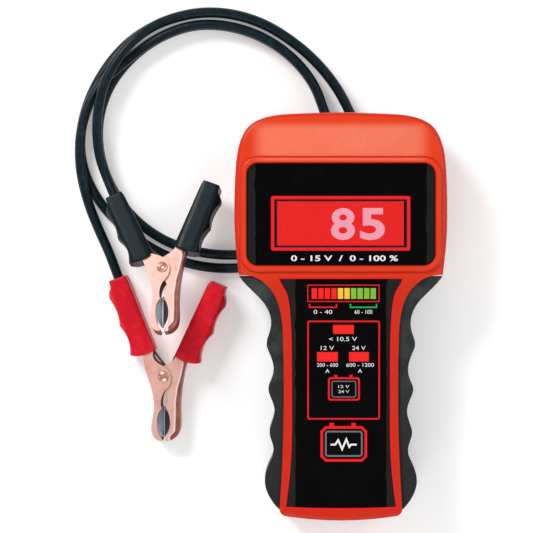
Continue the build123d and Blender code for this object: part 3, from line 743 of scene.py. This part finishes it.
def rivet_heads(colour):
    """Hollow rivet: a shank with a rolled head at each end."""
    clear_selection()
    bpy.ops.mesh.primitive_cylinder_add(vertices=48, radius=RIVET_SHANK * MM,
                                        depth=RIVET_LENGTH * MM, end_fill_type="NGON")
    piece = bpy.context.object
    bpy.ops.object.mode_set(mode="EDIT")
    for side in (-1, 1):
        bpy.ops.mesh.select_mode(type="FACE")
        bpy.ops.mesh.select_all(action="DESELECT")
        shape = bmesh.from_edit_mesh(piece.data)
        for face in shape.faces:
            if face.normal.z * side > 0.9:
                face.select_set(True)
        bmesh.update_edit_mesh(piece.data)
        bpy.ops.mesh.extrude_region_move(TRANSFORM_OT_translate={"value": (0, 0, 0)})
        bpy.ops.transform.resize(value=(1.32, 1.32, 1))
        bpy.ops.mesh.extrude_region_move(TRANSFORM_OT_translate={"value": (0, 0, side * 0.45 * MM)})
        bpy.ops.mesh.extrude_region_move(TRANSFORM_OT_translate={"value": (0, 0, side * 0.3 * MM)})
        bpy.ops.transform.resize(value=(0.84, 0.84, 1))
        for ring, step in ((0.7, -0.45), (0.5, 0.3), (0.35, -0.6)):
            bpy.ops.mesh.inset(thickness=ring * MM)
            bpy.ops.transform.translate(value=(0, 0, side * step * MM))
    outward_faces()
    rounded = piece.modifiers.new("rounded", "BEVEL")
    rounded.width = 0.1 * MM
    rounded.segments = 2
    bpy.ops.object.modifier_apply(modifier=rounded.name)
    bpy.ops.object.shade_smooth_by_angle(angle=radians(35))
    piece.matrix_world = clamp_place(colour)
    keep(piece, f"{colour}_rivet_heads", TESTER, RIVET_FINISH.material)
    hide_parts(f"{colour}_rivet")


def wire(name, points, colour, body):
    """Spring wire through points, in mm, in a clamp's own frame."""
    place = clamp_place(colour)
    tube(name, [place @ Vector((x * MM, y * MM, z * MM)) for x, y, z in points], WIRE, 6, 3)
    bpy.ops.object.convert(target="MESH")
    piece = bpy.context.object
    keep(piece, name, body, FINISHES["spring_steel"].material)
    return piece


def clamp_spring(colour):
    """Torsion spring: a coil round the rivet, one arm up inside each handle."""
    turns, steps = 4, 10
    path = [(x, y, COIL_TOP) for x, y in FIXED_ARM[colour]]
    for step in range(turns * steps + 1):
        angle = 2 * pi * step / steps
        height = COIL_TOP - 2 * COIL_TOP * step / (turns * steps)
        path.append((COIL_RADIUS * cos(angle), COIL_RADIUS * sin(angle), height))
    piece = wire(f"{colour}_spring_coil", path, colour, TESTER)
    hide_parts(f"{colour}_spring")
    moving = [(x, y, -COIL_TOP) for x, y in MOVING_ARM]
    wire(f"{colour}_spring_arm", moving, colour, f"{colour}_clamp_half")


def jaw_liner(colour, half, side, body):
    """Pressed teeth down the inside of one jaw, sloping in to the middle."""
    place = clamp_place(colour)
    rows = 30
    start, length, bow, tooth = -18.2, 18.4, 3.3, 0.32    # mm
    clear_selection()
    bpy.ops.mesh.primitive_grid_add(x_subdivisions=3, y_subdivisions=rows, size=2)
    piece = bpy.context.object
    for vertex in piece.data.vertices:
        inward = (vertex.co.x + 1) / 2
        row = round((vertex.co.y + 1) / 2 * rows)
        along = start - length * row / rows
        opening = bow * max(sin(pi * row / rows), 0.02) ** 0.75
        ridge = tooth if row % 2 else 0
        vertex.co = (side * (0.35 + opening * (1 - inward)), along, 5.0 - 3.6 * inward + ridge)
    thick = piece.modifiers.new("thick", "SOLIDIFY")
    thick.thickness = 0.5        # in mm, as the mesh still is
    bpy.ops.object.modifier_apply(modifier=thick.name)
    for vertex in piece.data.vertices:
        vertex.co = place @ (vertex.co * MM)
    bpy.ops.object.mode_set(mode="EDIT")
    outward_faces()
    # The cable jaw's liner is painted light, the free jaw's liner painted shade.
    finish = LINER_PAINTED_LIGHT if side < 0 else LINER_PAINTED_SHADE
    keep(piece, f"{colour}_{half}_liner", body, finish.material)


def make_clamps():
    """Sleeves, rivet, spring and jaw liners of both clamps."""
    for colour in CLAMPS:
        moving = f"{colour}_clamp_half"
        sleeve(colour, "cable", TESTER)
        sleeve(colour, "free", moving)
        rivet_heads(colour)
        clamp_spring(colour)
        jaw_liner(colour, "cable", -1, TESTER)
        jaw_liner(colour, "free", 1, moving)


# ---------------------------------------------------------------- prints

def make_prints():
    """Everything printed on the keypad sheet, the display and the two key caps. Sizes in mm."""
    # display
    printed("display_frame", (-42.0, 39.5, 41.6, 72.3), "red", 1.2, 1.9)
    printed("display_line", (-40.1, 41.4, 39.7, 70.4), "dark", 0.0, 1.2)
    lettered("digit_eight", "8", (-6.0, 45.9, 8.4, 65.1), "pink", 0.03)
    lettered("digit_five", "5", (11.4, 45.9, 26.4, 65.1), "pink", 0.03)
    lettered("display_units", "0 - 15 V  /  0 - 100 %", (-30.0, 33.2, 34.2, 36.7), "white", 0.02)
    # bar
    printed("bar_frame", (-20.2, 8.7, 23.2, 19.1), "red", 0.0, 0.6)
    stroke("bar_bracket_low", [(-18.9, 7.5), (-18.9, 5.5), (-2.7, 5.5), (-2.7, 7.5)], 0.8, "red")
    stroke("bar_bracket_high", [(5.7, 7.5), (5.7, 5.5), (21.3, 5.5), (21.3, 7.5)], 0.8, "green")
    lettered("bar_scale_low", "0 - 40", (-16.4, 1.6, -5.2, 3.9))
    lettered("bar_scale_high", "60 - 100", (8.2, 1.6, 18.8, 3.9))
    # lamps
    printed("lamp_frame", (-20.2, -61.9, 23.4, -2.5), "red", 1.4, 0.9)
    lettered("lamp_one_scale", "< 10.5 V", (-7.2, -14.8, 9.6, -12.3))
    lettered("lamp_two_scale", "12 V", (-12.1, -20.1, -4.2, -17.7))
    lettered("lamp_three_scale", "24 V", (6.7, -20.1, 14.8, -17.7))
    lettered("lamp_two_range", "200 - 600", (-14.4, -30.2, -1.8, -28.0))
    lettered("lamp_three_range", "600 - 1200", (3.2, -30.2, 19.8, -28.0))
    lettered("lamp_two_unit", "A", (-9.4, -33.8, -6.9, -31.6))
    lettered("lamp_three_unit", "A", (10.2, -33.8, 12.7, -31.6))
    # keys: a red battery outline round each, and a grey line along each cap's rim as its painted
    # highlight
    printed("selector_frame", (-7.8, -50.5, 11.4, -36.5), "red", 1.7, 1.15)
    printed("selector_pole_left", (-4.0, -36.6, -2.1, -35.1), "red", 0.2)
    printed("selector_pole_right", (5.1, -36.6, 7.0, -35.1), "red", 0.2)
    cap = {"top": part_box("selector_button")[1][2], "body": "selector_key"}
    printed("selector_rim_highlight", (-5.7, -48.6, 9.1, -38.6), "grey", 1.4, 0.6, **cap)
    lettered("selector_low", "12 V", (-1.6, -42.9, 5.0, -41.2), **cap)
    lettered("selector_high", "24 V", (-1.6, -45.9, 5.0, -44.2), **cap)
    printed("test_frame", (-12.3, -87.2, 15.7, -65.8), "red", 3.0, 1.65, chamfer=True)
    printed("test_pole_left", (-6.9, -65.9, -4.2, -63.9), "red", 0.3)
    printed("test_pole_right", (6.2, -65.9, 8.9, -63.9), "red", 0.3)
    cap = {"top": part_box("test_button")[1][2], "body": "test_key"}
    printed("test_rim_highlight", (-9.6, -84.2, 13.0, -68.6), "grey", 1.8, 1.0, **cap)
    pulse = [(-6.2, -76.9), (-3.4, -76.9), (-1.7, -74.2), (0.7, -79.6), (3.2, -73.7), (5.0, -78.2),
             (6.0, -76.9), (9.4, -76.9)]
    stroke("test_pulse", pulse, 1.1, "white", **cap)
    outlined("keypad_border", outline_of("keypad_overlay"), "red", line=1.1)


def make_floor():
    """A white floor just under the object, faintly lit so that it stays white."""
    bpy.ops.mesh.primitive_plane_add(size=6, location=(0, 0, -0.2 * MM))
    floor = bpy.context.object
    floor.name = "floor"
    pale = Finish("floor_white", Roughness=0.9, Specular_IOR_Level=0.1, Emission_Strength=0.3)
    shade = pale.mix(pale.noise(60, 2.0), (0.92, 0.92, 0.92, 1), (0.9, 0.9, 0.9, 1))
    pale.set("Emission Color", shade)
    pale.set("Base Color", shade)
    floor.data.materials.append(pale.material)


make_camera()
make_surroundings()
finish_nodes()
make_clamps()
make_leads()
make_prints()
make_floor()
